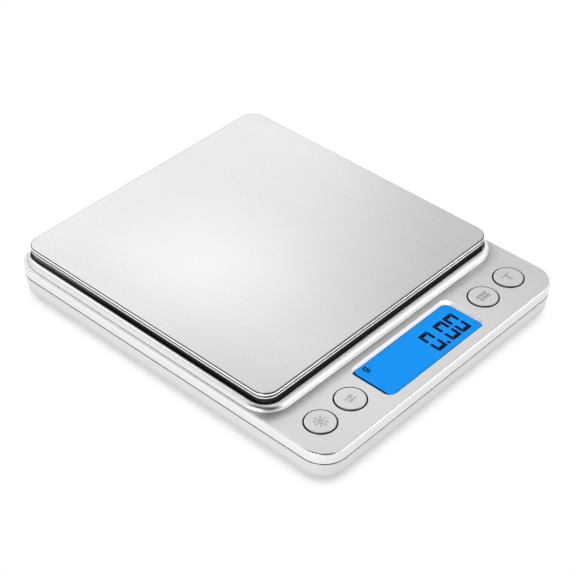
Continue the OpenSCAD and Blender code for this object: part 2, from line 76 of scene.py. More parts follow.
# Rounded rectangles as centre, half sizes, corner radius and blur: the painted shade beside the
# border, the display recess, the display's lit area and a painted highlight on the platform's top
BORDER_SHADE = ((0, 10.6 * MM), (54 * MM, 54 * MM), 10.7 * MM, 1.4 * MM)
BEZEL = ((0, -51.75 * MM), (22.1 * MM, 8 * MM), 2.7 * MM, 0.05 * MM)
LIT_AREA = ((1.75 * MM, -50.78 * MM), (20.95 * MM, 7.08 * MM), 1.1 * MM, 0.08 * MM)
PAINTED_GLINT = ((-20 * MM, 13 * MM), (19 * MM, 19 * MM), 19 * MM, 19 * MM)
# The display recess: where its walls start and end, and its right wall along X, where the painted
# highlight on its walls weakens. Then the grey and the glow of that painted highlight
BEZEL_FLOOR = 9 * MM
BEZEL_TOP = 12.35 * MM
BEZEL_RIGHT_X = (21.3 * MM, 21.8 * MM)
BEZEL_TONE = 0.93
BEZEL_GLOW = 0.38

# Key holes lie KEY_APART to either side of KEY_MIDDLE, on both sides of the centre line. They are
# painted black as shade up to STRIP_EDGE_Z in the housing and up to KEY_EDGE_Z on the caps
KEY_MIDDLE = 36.2 * MM
KEY_APART = 6.2 * MM
KEY_Y = -51.9 * MM
KEY_HOLE_R = 4.97 * MM
KEY_HOLE_RIM_R = 5.02 * MM
KEY_HOLE_FLOOR = 9 * MM
STRIP_EDGE_Z = 12.38 * MM
KEY_EDGE_Z = 12.58 * MM
KEY_MARK_Z = (12.74 * MM, 13 * MM)

# Platform: where its rim gives way to the brushed top, the spans along X that carry painted shade on
# the left and painted light on the right, and height in millimetres and reflectance down the rim,
# whose bright bands and dark lines are painted reflections
PLATE_TOP_Z = (17.985 * MM, 17.999 * MM)
PLATE_LEFT_X = (-46 * MM, -30 * MM)
PLATE_RIGHT_X = (10 * MM, 45 * MM)
HEM = (
    (15.9, 0.02), (16.0, 0.02), (16.05, 0.5), (16.3, 0.6), (16.42, 0.6), (16.48, 0.03),
    (17.0, 0.03), (17.08, 0.4), (17.2, 0.5), (17.28, 0.8), (17.56, 0.8), (17.64, 0.12),
    (17.78, 0.02), (18.0, 0.025),
)
LEFT = (-1, 0, 0)

# The carrier is greyed toward the back over this span, as a painted reflection
SHEEN_Y = (25 * MM, 60 * MM)

# Cell sleeves, as distances from the middle: white band, copper shoulder, bare metal
SLEEVE_BAND = (11.3 * MM, 11.4 * MM)
SLEEVE_SHOULDER = (11.9 * MM, 12.1 * MM)
SLEEVE_BARE = (20.4 * MM, 20.5 * MM)

LCD_BLUE = (0.006, 0.30, 0.92, 1)
LCD_OFF = 0.06

# Openness of the floor round the scale and the grey of the painted contact shadow there
CONTACT = (
    (0.25, 0.6), (0.35, 0.72), (0.42, 0.8), (0.5, 0.88), (0.58, 0.94), (0.68, 0.975), (0.8, 1.0),
)
FLOOR_WHITE = 1.01
FLOOR_BOUNCE = 1.0


# ---- Node tree helpers ----


class Tree:
    """The node tree of a material or a world, with short ways to add and join nodes."""

    def __init__(self, owner, output, coords):
        owner.use_nodes = True
        self.nodes = owner.node_tree.nodes
        self.links = owner.node_tree.links
        self.nodes.clear()
        self.output = self.nodes.new(output)
        self.coords = self.nodes.new("ShaderNodeTexCoord").outputs[coords]

    def link(self, source, target):
        self.links.new(source, target)

    def put(self, socket, value):
        """Joins value to the socket if it is an output, and stores a number or a colour."""
        if isinstance(value, bpy.types.NodeSocket):
            self.links.new(value, socket)
        else:
            socket.default_value = value

    def stretched(self, scale):
        """Object coordinates multiplied by scale, in 1/m."""
        mapping = self.nodes.new("ShaderNodeMapping")
        mapping.inputs["Scale"].default_value = scale
        self.link(self.coords, mapping.inputs["Vector"])
        return mapping.outputs["Vector"]

    def noise(self, scale, detail=3.0, roughness=0.55):
        """Noise with scale waves to the metre along X, Y and Z."""
        node = self.nodes.new("ShaderNodeTexNoise")
        self.link(self.stretched(scale), node.inputs["Vector"])
        node.inputs["Scale"].default_value = 1.0
        node.inputs["Detail"].default_value = detail
        node.inputs["Roughness"].default_value = roughness
        return node.outputs["Fac"]

    def cells(self, scale):
        """Distance to the middle of small cells, scale of them to the metre."""
        node = self.nodes.new("ShaderNodeTexVoronoi")
        self.link(self.stretched(scale), node.inputs["Vector"])
        node.inputs["Scale"].default_value = 1.0
        return node.outputs["Distance"]

    def ramp(self, value, low, high, low_out, high_out):
        """Maps value from low..high to low_out..high_out, clamped."""
        return self.map_range(value, low, high, low_out, high_out).outputs["Result"]

    def map_range(self, value, low, high, low_out, high_out):
        """The node behind ramp, for a change of its settings."""
        node = self.nodes.new("ShaderNodeMapRange")
        self.link(value, node.inputs["Value"])
        node.inputs["From Min"].default_value = low
        node.inputs["From Max"].default_value = high
        node.inputs["To Min"].default_value = low_out
        node.inputs["To Max"].default_value = high_out
        return node

    def math(self, operation, a, b):
        node = self.nodes.new("ShaderNodeMath")
        node.operation = operation
        self.put(node.inputs[0], a)
        self.put(node.inputs[1], b)
        return node.outputs["Value"]

    def mix(self, factor, a, b):
        """Colour a where factor is 0 and colour b where it is 1."""
        node = self.nodes.new("ShaderNodeMix")
        node.data_type = "RGBA"
        self.put(node.inputs["Factor"], factor)
        self.put(node.inputs[6], a)
        self.put(node.inputs[7], b)
        return node.outputs[2]

    def axis(self, name):
        node = self.nodes.new("ShaderNodeSeparateXYZ")
        self.link(self.coords, node.inputs["Vector"])
        return node.outputs[name]

    def inside(self, centre, half, radius, blur):
        """1 inside a rounded rectangle seen from above, falling to 0 over its edge."""
        squares = []
        for axis, middle, reach in zip("XY", centre, half):
            offset = self.math("ABSOLUTE", self.math("SUBTRACT", self.axis(axis), middle), 0.0)
            beyond = self.math("MAXIMUM", self.math("SUBTRACT", offset, reach - radius), 0.0)
            squares.append(self.math("MULTIPLY", beyond, beyond))
        distance = self.math("SQRT", self.math("ADD", *squares), 0.0)
        return self.ramp(distance, radius - blur, radius + blur, 1.0, 0.0)

    def steps(self, value, stops):
        """Grey from a list of (value, tone) pairs in rising order."""
        low, high = stops[0][0], stops[-1][0]
        node = self.nodes.new("ShaderNodeValToRGB")
        self.link(self.ramp(value, low, high, 0.0, 1.0), node.inputs["Fac"])
        elements = node.color_ramp.elements
        while len(elements) < len(stops):
            elements.new(0.5)
        for element, (place, tone) in zip(elements, stops):
            element.position = (place - low) / (high - low)
            element.color = grey(tone)
        return node.outputs["Color"]

    def between(self, bottom, top):
        """1 on what lies between two heights and 0 elsewhere."""
        above = self.ramp(self.axis("Z"), bottom, bottom + SHARP, 0.0, 1.0)
        below = self.ramp(self.axis("Z"), top - SHARP, top, 1.0, 0.0)
        return self.math("MULTIPLY", above, below)

    def geometry(self, output):
        return self.nodes.new("ShaderNodeNewGeometry").outputs[output]

    def rise(self):
        """How far the face looks up or down: 1 on level faces, 0 on upright ones."""
        split = self.nodes.new("ShaderNodeSeparateXYZ")
        self.link(self.geometry("Normal"), split.inputs["Vector"])
        return self.math("ABSOLUTE", split.outputs["Z"], 0.0)

    def dot(self, a, b):
        """How far two directions agree, as the cosine of the angle between them."""
        node = self.nodes.new("ShaderNodeVectorMath")
        node.operation = "DOT_PRODUCT"
        self.put(node.inputs[0], a)
        self.put(node.inputs[1], b)
        return node.outputs["Value"]

    def facing(self, direction, near, far):
        """1 on faces turned within near degrees of a direction, falling to 0 at far degrees."""
        low, high = math.cos(math.radians(far)), math.cos(math.radians(near))
        return self.ramp(self.dot(self.geometry("Normal"), direction), low, high, 0.0, 1.0)

    def grazing(self, shallow, steep, most):
        """most where the face is seen at shallow degrees or less, falling to 0 at steep degrees."""
        low, high = math.sin(math.radians(shallow)), math.sin(math.radians(steep))
        agree = self.dot(self.geometry("Normal"), self.geometry("Incoming"))
        return self.ramp(agree, low, high, most, 0.0)

    def in_keys(self, bottom, top):
        """1 inside the four key holes between two heights."""
        across = self.math("ABSOLUTE", self.axis("X"), 0.0)
        nearest = self.math("ABSOLUTE", self.math("SUBTRACT", across, KEY_MIDDLE), 0.0)
        x = self.math("SUBTRACT", nearest, KEY_APART)
        y = self.math("SUBTRACT", self.axis("Y"), KEY_Y)
        squares = self.math("ADD", self.math("MULTIPLY", x, x), self.math("MULTIPLY", y, y))
        distance = self.math("SQRT", squares, 0.0)
        hole = self.ramp(distance, KEY_HOLE_R, KEY_HOLE_RIM_R, 1.0, 0.0)
        return self.math("MULTIPLY", hole, self.between(bottom, top))

    def camera_ray(self):
        """1 for what the camera sees directly, 0 for all other light."""
        return self.nodes.new("ShaderNodeLightPath").outputs["Is Camera Ray"]

    def seen(self, hidden, visible):
        """The number visible for what the camera sees directly, and hidden for other light."""
        return self.ramp(self.camera_ray(), 0.0, 1.0, hidden, visible)

    def openness(self, reach):
        """1 on open faces, falling toward 0 in gaps and at the foot of steps closer than reach."""
        node = self.nodes.new("ShaderNodeAmbientOcclusion")
        node.samples = 8
        node.inputs["Distance"].default_value = reach
        return node.outputs["AO"]

    def bump(self, height, strength, distance, edge=0.0):
        """A normal from a height, over edges that look rounded by the radius edge."""
        node = self.nodes.new("ShaderNodeBump")
        self.link(height, node.inputs["Height"])
        node.inputs["Strength"].default_value = strength
        node.inputs["Distance"].default_value = distance
        if edge:
            bevel = self.nodes.new("ShaderNodeBevel")
            bevel.samples = 4
            bevel.inputs["Radius"].default_value = edge
            self.link(bevel.outputs["Normal"], node.inputs["Normal"])
        return node.outputs["Normal"]

    def blend(self, factor, first, second):
        """Sends the shader first to the surface where factor is 0 and second where it is 1."""
        node = self.nodes.new("ShaderNodeMixShader")
        self.link(factor, node.inputs["Fac"])
        self.link(first, node.inputs[1])
        self.link(second, node.inputs[2])
        self.link(node.outputs["Shader"], self.output.inputs["Surface"])

    def principled(self, **inputs):
        """Principled shader; keyword names are the socket names with underscores for spaces."""
        node = self.nodes.new("ShaderNodeBsdfPrincipled")
        for name, value in inputs.items():
            self.put(node.inputs[name.replace("_", " ")], value)
        self.link(node.outputs["BSDF"], self.output.inputs["Surface"])
        return node.outputs["BSDF"]


def grey(value):
    """Neutral colour with full alpha."""
    return (value, value, value, 1.0)


def scaled(colour, factor):
    """Colour made lighter or darker by a factor."""
    return tuple(channel * factor for channel in colour[:3]) + (1.0,)


# ---- Materials ----


class Look(Tree):
    """A material and its node tree."""

    def __init__(self, name):
        self.material = bpy.data.materials.new(name)
        super().__init__(self.material, "ShaderNodeOutputMaterial", "Object")


def sprayed_tone(t, colour, flakes):
    """Paint on level faces: fine flakes and faint clouding, with painted shade a little darker
    toward the ends.
    """
    clouds = t.noise((45, 45, 45), detail=4)
    tone = t.mix(t.ramp(clouds, 0.3, 0.7, 0.0, 1.0), scaled(colour, 1.02), scaled(colour, 1.05))
    even = t.mix(t.ramp(flakes, 0.1, 0.9, 0.0, 0.12), tone, scaled(colour, 1.3))
    ends = t.ramp(t.math("ABSOLUTE", t.axis("X"), 0.0), *ENDS_X, 0.0, 1.0)
    return t.mix(ends, even, scaled(colour, 0.95))


def turned_tone(t, colour, upright, level):
    """Paint by the face's direction: level faces keep their tone, walls carry painted shade at the
    foot and painted light at the shoulder, rounded edges are painted darker, and round edges that
    look at the camera carry a painted reflection of the dark behind it."""
    shoulder = t.ramp(t.axis("Z"), *SHOULDER_Z, 1.0, 1.08)
    height = t.math("MULTIPLY", shoulder, t.ramp(t.axis("Z"), *FOOT_Z, 0.75, 1.0))
    wall = t.mix(t.ramp(height, 0.0, 1.2, 0.0, 1.0), grey(0.0), scaled(colour, 1.2 * upright))
    edge = t.mix(t.ramp(t.rise(), 0.15, 0.45, 0.0, 1.0), wall, scaled(colour, 0.82 * upright))
    turned = t.mix(t.ramp(t.rise(), 0.85, 0.97, 0.0, 1.0), edge, level)
    return t.mix(t.facing(TOWARD_CAMERA, 12, 30), turned, scaled(colour, 0.18))


def border_tone(t, base, strip):
    """Painted highlight along the crest of the raised border's front, and a painted soft shadow at
    its foot.
    """
    front = t.ramp(t.axis("Y"), *BORDER_FRONT_Y, 1.0, 0.0)
    crest = t.math("MULTIPLY", front, t.ramp(t.axis("Z"), *CREST_Z, 0.0, 1.0))
    crested = t.mix(crest, base, grey(CREST_TONE))
    crease = t.math("MULTIPLY", t.inside(*BORDER_SHADE), t.ramp(front, 0.0, 1.0, 0.26, 0.55))
    crease = t.math("MULTIPLY", crease, t.ramp(t.axis("X"), *CREASE_END_X, 1.0, 0.4))
    crease = t.math("MULTIPLY", crease, strip)
    return t.mix(crease, crested, grey(0.0))


def silver_paint(name, colour, upright=1.0, roughness=0.34, gap_top=STRIP_EDGE_Z):
    """Satin silver paint on moulded plastic, with slight orange peel. The display recess's walls
    carry a painted highlight and glow. Creases and gaps carry painted shade, black up to gap_top in
    the key holes. Upright faces are scaled by upright, which paints them lighter or darker."""
    t = Look(name)
    flakes = t.cells((6000, 6000, 6000))
    peel = t.noise((900, 900, 900), detail=2)
    turned = turned_tone(t, colour, upright, sprayed_tone(t, colour, flakes))
    low = t.ramp(t.axis("Z"), *STRIP_TO_Z, 1.0, 0.0)
    strip = t.math("MULTIPLY", t.ramp(t.axis("Z"), *STRIP_FROM_Z, 0.0, 1.0), low)
    bordered = border_tone(t, turned, strip)
    marked = t.mix(t.in_keys(*KEY_MARK_Z), bordered, scaled(colour, 0.72))
    # Painted highlight and glow on the display recess's walls, weaker on its right wall
    recess = t.ramp(t.axis("X"), *BEZEL_RIGHT_X, 1.0, 0.35)
    recess = t.math("MULTIPLY", t.between(BEZEL_FLOOR, BEZEL_TOP), recess)
    bezel = t.math("MULTIPLY", t.inside(*BEZEL), recess)
    trimmed = t.mix(bezel, marked, grey(BEZEL_TONE))
    # Painted shade in creases below the strip's top, and in narrow gaps
    hidden = t.math("MULTIPLY", t.ramp(t.openness(2 * MM), 0.34, 0.66, 1.0, 0.0), low)
    shaded = t.mix(hidden, trimmed, scaled(colour, 0.3))
    gap = t.ramp(t.openness(0.5 * MM), 0.38, 0.66, 1.0, 0.0)
    dark = t.math("MAXIMUM", gap, t.in_keys(KEY_HOLE_FLOOR, gap_top))
    t.principled(
        Base_Color=t.mix(dark, shaded, grey(GAP_TONE)),
        Roughness=t.ramp(flakes, 0.0, 1.0, roughness - 0.04, roughness + 0.06),
        Normal=t.bump(peel, 0.10, 0.02 * MM, edge=0.12 * MM),
        Metallic=t.ramp(dark, 0.0, 1.0, 0.6, 0.0),
        Coat_Weight=t.ramp(dark, 0.0, 1.0, 0.5, 0.0), Coat_Roughness=0.12,
        Emission_Color=grey(1.0), Emission_Strength=t.ramp(bezel, 0.0, 1.0, 0.0, BEZEL_GLOW),
    )
    return t.material


def brushed_tone(t, colour, grain):
    """Top of the sheet: long grooves, a painted highlight over one part, and a slow change from side
    to side: painted shade on the left and painted light on the right."""
    broad = t.noise((40, 14, 40), detail=2)
    streak = t.math("ADD", t.math("MULTIPLY", grain, 0.7), t.math("MULTIPLY", broad, 0.3))
    glint_tone = t.ramp(t.inside(*PAINTED_GLINT), 0.0, 1.0, 0.955, 1.095)
    left = t.ramp(t.axis("X"), *PLATE_LEFT_X, -0.07, 0.0)
    right = t.ramp(t.axis("X"), *PLATE_RIGHT_X, 0.0, 0.07)
    tone = t.math("ADD", glint_tone, t.math("ADD", left, right))
    tone = t.math("MULTIPLY", tone, t.ramp(streak, 0.35, 0.65, 0.965, 1.03))
    return t.mix(t.ramp(tone, 0.8, 1.2, 0.0, 1.0), scaled(colour, 0.8), scaled(colour, 1.2))


def brushed_steel(name, colour):
    """Stainless sheet brushed along Y, with a pressed hem whose bright bands, and darker lines at
    its fold and bead, are painted reflections, painted lighter where it faces left. Seen at a low
    angle the top turns matt, so that no light burns it out."""
    t = Look(name)
    fine = t.noise((9000, 110, 2000), detail=2, roughness=0.7)
    long = t.noise((3000, 25, 900), detail=3, roughness=0.6)
    grain = t.math("ADD", t.math("MULTIPLY", fine, 0.65), t.math("MULTIPLY", long, 0.35))
    rim = t.steps(t.axis("Z"), [(z * MM, tone) for z, tone in HEM])
    hem = t.mix(t.math("MULTIPLY", t.facing(LEFT, 20, 60), 0.2), rim, grey(0.5))
    top = t.ramp(t.axis("Z"), *PLATE_TOP_Z, 0.0, 1.0)
    tangent = t.nodes.new("ShaderNodeTangent")
    tangent.direction_type = "RADIAL"
    tangent.axis = "X"
    shiny = t.principled(
        Base_Color=t.mix(top, hem, brushed_tone(t, colour, grain)),
        Metallic=t.ramp(top, 0.0, 1.0, 0.35, 1.0), Roughness=t.ramp(grain, 0.3, 0.7, 0.25, 0.33),
        Normal=t.bump(grain, 0.06, 0.012 * MM),
        Anisotropic=0.5, Tangent=tangent.outputs["Tangent"],
    )
    matt = t.nodes.new("ShaderNodeBsdfDiffuse")
    matt.inputs["Color"].default_value = scaled(colour, 0.6)
    t.blend(t.math("MULTIPLY", top, t.grazing(25, 34, 0.85)), shiny, matt.outputs["BSDF"])
    return t.material


def plastic(name, colour, roughness=0.45, grain=2500, shine=0.5, back_sheen=0.0):
    """Moulded plastic with a fine spark-eroded grain, greyed toward the back, as a painted
    reflection, by the given share.
    """
    t = Look(name)
    texture = t.noise((grain, grain, grain), detail=2)
    clouds = t.noise((70, 70, 70), detail=3)
    even = t.mix(t.ramp(clouds, 0.3, 0.7, 0.0, 1.0), scaled(colour, 0.93), scaled(colour, 1.07))
    base = t.mix(t.ramp(t.axis("Y"), *SHEEN_Y, 0.0, back_sheen), even, grey(0.2))
    rough = t.ramp(texture, 0.3, 0.7, roughness - 0.05, roughness + 0.07)
    normal = t.bump(texture, 0.35, 0.012 * MM, edge=0.1 * MM)
    t.principled(Base_Color=base, Roughness=rough, Specular_IOR_Level=shine, Normal=normal)
    return t.material


def rubber(name, colour):
    """Soft moulded rubber, dusty on its raised grain."""
    t = Look(name)
    pores = t.noise((1800, 1800, 1800), detail=4)
    dust = t.noise((160, 160, 160), detail=3)
    base = t.mix(t.ramp(dust, 0.45, 0.75, 0.0, 0.5), colour, scaled(colour, 2.2))
    normal = t.bump(pores, 0.5, 0.03 * MM, edge=0.2 * MM)
    t.principled(Base_Color=base, Roughness=0.78, Specular_IOR_Level=0.3, Normal=normal)
    return t.material


def metal(name, colour, roughness=0.28, scratches=(1500, 1500, 1500)):
    """Plated or machined metal with fine marks along one direction."""
    t = Look(name)
    marks = t.noise(scratches, detail=3, roughness=0.65)
    stain = t.noise((300, 300, 300), detail=3)
    base = t.mix(t.ramp(stain, 0.35, 0.7, 0.0, 1.0), scaled(colour, 0.88), colour)
    rough = t.ramp(marks, 0.3, 0.7, roughness - 0.06, roughness + 0.1)
    normal = t.bump(marks, 0.25, 0.01 * MM, edge=0.08 * MM)
    t.principled(Base_Color=base, Metallic=1.0, Roughness=rough, Normal=normal)
    return t.material


def circuit_board(name):
    """Green solder mask: raised tracks show lighter than the bare laminate."""
    t = Look(name)
    brick = t.nodes.new("ShaderNodeTexBrick")
    t.link(t.stretched((1, 1, 1)), brick.inputs["Vector"])
    brick.inputs["Scale"].default_value = 1.0
    brick.inputs["Brick Width"].default_value = 5.2 * MM
    brick.inputs["Row Height"].default_value = 1.3 * MM
    brick.inputs["Mortar Size"].default_value = 0.22 * MM
    brick.inputs["Mortar Smooth"].default_value = 0.2
    base = t.mix(brick.outputs["Fac"], (0.012, 0.12, 0.045, 1), (0.03, 0.26, 0.09, 1))
    normal = t.bump(brick.outputs["Fac"], 0.5, 0.04 * MM)
    weave = t.noise((2500, 2500, 2500), detail=2)
    rough = t.ramp(weave, 0.3, 0.7, 0.25, 0.38)
    t.principled(Base_Color=base, Roughness=rough, Normal=normal, Coat_Weight=0.4)
    return t.material


def lit_display(name):
    """Liquid crystal cell lit blue from behind, dark outside the lit area."""
    t = Look(name)
    mottle = t.ramp(t.noise((500, 500, 500), detail=2), 0.3, 0.7, 0.985, 1.015)
    lit = t.ramp(t.inside(*LIT_AREA), 0.0, 1.0, LCD_OFF, 1.0)
    strength = t.math("MULTIPLY", t.math("MULTIPLY", lit, mottle), t.seen(0.1, 1.0))
    t.principled(
        Base_Color=(0.002, 0.008, 0.02, 1), Roughness=0.4, Specular_IOR_Level=0.02,
        Emission_Color=LCD_BLUE, Emission_Strength=strength,
    )
    return t.material


def dark_segment(name):
    """Switched-on crystal: nearly black, with a trace of the blue behind it."""
    t = Look(name)
    mottle = t.noise((1200, 1200, 1200), detail=2)
    strength = t.ramp(mottle, 0.3, 0.7, 0.8, 1.2)
    t.principled(
        Base_Color=(0.002, 0.002, 0.006, 1), Roughness=0.6, Specular_IOR_Level=0.05,
        Emission_Color=(0.0008, 0.001, 0.010, 1), Emission_Strength=strength,
    )
    return t.material


def clear_window(name):
    """Thin clear acrylic with a weak reflection and a few fine hairlines."""
    t = Look(name)
    hairs = t.noise((3000, 60, 60), detail=2)
    rough = t.ramp(hairs, 0.55, 0.8, 0.25, 0.4)
    t.principled(
        Base_Color=(0.01, 0.03, 0.06, 1), Roughness=rough, Alpha=0.02, Specular_IOR_Level=0.1,
    )
    return t.material


def battery_sleeve(name, positive):
    """Plain printed sleeve: copper-coloured shoulder at the positive end, dark body, bare ends."""
    t = Look(name)
    along = t.math("MULTIPLY", t.axis("X"), positive)
    shoulder = t.ramp(along, *SLEEVE_SHOULDER, 0.0, 1.0)
    bare = t.ramp(t.math("ABSOLUTE", t.axis("X"), 0.0), *SLEEVE_BARE, 0.0, 1.0)
    band = t.ramp(along, *SLEEVE_BAND, 0.0, 1.0)
    ring = t.math("SUBTRACT", band, shoulder)
    body = t.mix(shoulder, (0.02, 0.025, 0.03, 1), (0.55, 0.27, 0.10, 1))
    striped = t.mix(ring, body, grey(0.75))
    base = t.mix(bare, striped, grey(0.62))
    rub = t.noise((400, 1200, 1200), detail=3)
    rough = t.ramp(rub, 0.3, 0.7, 0.22, 0.36)
    metallic = t.math("MAXIMUM", t.math("MULTIPLY", shoulder, 0.7), bare)
    normal = t.bump(rub, 0.1, 0.01 * MM, edge=0.4 * MM)
    t.principled(Base_Color=base, Metallic=metallic, Roughness=rough, Normal=normal)
    return t.material


def white_floor(name):
    """Pale sweep burnt out to white for the camera, with a painted soft contact shadow. It is clear
    from below, so the underside can be looked at."""
    t = Look(name)
    cloud = t.ramp(t.noise((6, 6, 6), detail=2), 0.3, 0.7, 0.99, 1.01)
    glow = t.nodes.new("ShaderNodeEmission")
    t.link(t.steps(t.openness(4.5 * MM), CONTACT), glow.inputs["Color"])
    t.link(t.math("MULTIPLY", cloud, t.seen(FLOOR_BOUNCE, FLOOR_WHITE)), glow.inputs["Strength"])
    clear = t.nodes.new("ShaderNodeBsdfTransparent")
    t.blend(t.geometry("Backfacing"), glow.outputs["Emission"], clear.outputs["BSDF"])
    t.material.cycles.emission_sampling = "NONE"
    return t.material


# One paint for both shells, with walls painted lighter on the upper shell and darker on the lower
# one and on the keys' sides, as painted light and shade
upper_shell = silver_paint("upper_paint", SHELL, upright=1.09)
lower_shell = silver_paint("lower_paint", SHELL, upright=0.955)
key = silver_paint("key_paint", scaled(SHELL, 0.96), 0.5, 0.4, gap_top=KEY_EDGE_Z)
steel = brushed_steel("brushed_steel", STEEL)
black = plastic("black_plastic", grey(0.01), roughness=0.62, shine=0.2, back_sheen=0.5)
dark = plastic("switch_plastic", grey(0.03), roughness=0.5)
white = plastic("white_plastic", grey(0.8), roughness=0.4)
epoxy = plastic("black_epoxy", grey(0.012), roughness=0.18, grain=700)
silicone = rubber("white_silicone", grey(0.72))
feet = rubber("foot_rubber", grey(0.03))
elastomer = rubber("connector_rubber", grey(0.05))
foam = rubber("foam_tape", grey(0.78))
zinc = metal("zinc_plate", (0.62, 0.62, 0.6, 1), roughness=0.3)
nickel = metal("nickel_plate", (0.70, 0.68, 0.63, 1), roughness=0.2)
machined = metal("machined_aluminium", (0.78, 0.79, 0.8, 1), 0.3, (60, 2400, 2400))
tin = metal("tinned_lead", (0.66, 0.66, 0.64, 1), roughness=0.35)
film = plastic("gauge_film", (0.62, 0.34, 0.07, 1), roughness=0.25, grain=3000)
insulation = plastic("wire_insulation", (0.42, 0.02, 0.015, 1), roughness=0.35, grain=900)
ceramic = plastic("chip_ceramic", (0.34, 0.23, 0.13, 1), roughness=0.5)
led = plastic("led_resin", (0.85, 0.8, 0.45, 1), roughness=0.2)
can = metal("capacitor_can", (0.55, 0.56, 0.6, 1), 0.25, (1500, 1500, 80))

LOOKS = {
    "top_shell": upper_shell,
    "bottom_shell": lower_shell,
    "battery_door": lower_shell,
    "platform_plate": steel,
    "platform_tape": foam,
    "pan_carrier": black,
    "carrier_screws": zinc,
    "carrier_spacer": machined,
    "load_cell": machined,
    "load_cell_spacer": machined,
    "load_cell_screws": zinc,
    "overload_stop_screw": zinc,
    "case_screws": zinc,
    "pcb_screws": zinc,
    "strain_gauges": film,
    "gauge_sealant": silicone,
    "load_cell_wires": insulation,
    "battery_wires": insulation,
    "main_pcb": circuit_board("circuit_board"),
    "controller_glob": epoxy,
    "adc_chip": epoxy,
    "adc_chip_pins": tin,
    "crystal": tin,
    "electrolytic_capacitor": can,
    "smd_parts": ceramic,
    "switch_bodies": dark,
    "plunger_light": dark,
    "plunger_mode": dark,
    "plunger_count": dark,
    "plunger_tare": dark,
    "button_light": key,
    "button_mode": key,
    "button_count": key,
    "button_tare": key,
    "lcd_frame": white,
    "lcd_glass": lit_display("lit_display"),
    "lcd_segments": dark_segment("dark_segment"),
    "zebra_strips": elastomer,
    "backlight_diffuser": white,
    "backlight_leds": led,
    "display_window": clear_window("clear_window"),
    "plate_contact": nickel,
    "rubber_feet": feet,
}

for name, material in LOOKS.items():
    slots = nodes[name].data.materials
    slots.clear()
    slots.append(material)


# ---- Cells and coil springs of the battery bay ----

CELL_Y = (35.2 * MM, 46.4 * MM)
CELL_Z = 8.1 * MM
CELL_R = 5.25 * MM
CELL_LONG = 43.7 * MM
NUB_R = 1.9 * MM
NUB_LONG = 0.8 * MM
WALL_X = 24.3 * MM
CONTACT_T = 0.4 * MM
SPRING_LONG = 3.3 * MM
WIRE_R = 0.275 * MM
COIL_WIDE = 3.6 * MM
COIL_NARROW = 2.3 * MM
COIL_TURNS = 4.5
# Share of the coil's length that lies flat at each end, and how finely it is drawn
COIL_FLAT = 0.12
COIL_STEPS = 220
WIRE_AROUND = 12
CELL_AROUND = 72


def show(name, mesh, material, stands_for):
    """Adds a mesh given in the row frame as a housing piece in place of a CAD node."""
    mesh.materials.append(material)
    mesh.shade_smooth()
    mesh.set_sharp_from_angle(angle=math.radians(40))
    piece = bpy.data.objects.new(name, mesh)
    bpy.context.scene.collection.objects.link(piece)
    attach(piece, "housing")
    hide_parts(stands_for)


def skin(bm, rings):
    """Joins equal rings of vertices into a skin, with a face across each end."""
    around = len(rings[0])
    for near, far in zip(rings, rings[1:]):
        for i in range(around):
            j = (i + 1) % around
            bm.faces.new((near[i], near[j], far[j], far[i]))
    bm.faces.new(list(reversed(rings[0])))
    bm.faces.new(rings[-1])


def stored(name, bm):
    """A mesh from the bmesh, with its faces turned outward."""
    bmesh.ops.recalc_face_normals(bm, faces=bm.faces)
    mesh = bpy.data.meshes.new(name)
    bm.to_mesh(mesh)
    bm.free()
    return mesh


def arc(centre, radius, start, stop, steps=6):
    """Points (x, r) round an arc, angles in degrees."""
    turns = [math.radians(start + (stop - start) * i / steps) for i in range(steps + 1)]
    return [(centre[0] + radius * math.cos(a), centre[1] + radius * math.sin(a)) for a in turns]


def cell_profile():
    """Half outline (x, r) of a cell whose middle is at x 0 and whose nub points to +x."""
    end = CELL_LONG / 2
    rim, fold, sleeve, corner = 0.5 * MM, 0.35 * MM, 0.12 * MM, 0.4 * MM
    dish_r, dish = 3.4 * MM, 0.15 * MM
    outline = [(-end + dish, 0.01 * MM), (-end + dish, dish_r), (-end, dish_r + dish)]
    outline += arc((-end + rim, CELL_R - sleeve - rim), rim, 180, 90)
    outline += [(-end + rim + fold, CELL_R - sleeve), (-end + rim + fold, CELL_R)]
    outline += [(end - 3 * rim - fold, CELL_R), (end - 3 * rim, CELL_R - sleeve)]
    outline += arc((end - 2 * rim, CELL_R - sleeve - 2 * rim), 2 * rim, 90, 0)
    outline += [(end, NUB_R + corner)]
    outline += arc((end + corner, NUB_R + corner), corner, 180, 270)
    outline += arc((end + NUB_LONG - corner, NUB_R - corner), corner, 90, 0)
    outline += [(end + NUB_LONG, 0.01 * MM)]
    return outline


def cell_mesh(name, y, side):
    """Dry cell along X with its nub toward side, turned from the outline."""
    middle = side * (WALL_X - CONTACT_T - NUB_LONG - CELL_LONG / 2)
    bm = bmesh.new()
    rings = []
    for x, r in cell_profile():
        turns = [side * 2 * math.pi * i / CELL_AROUND for i in range(CELL_AROUND)]
        place = [(middle + side * x, y + r * math.cos(a), CELL_Z + r * math.sin(a)) for a in turns]
        rings.append([bm.verts.new(point) for point in place])
    skin(bm, rings)
    return stored(name, bm)


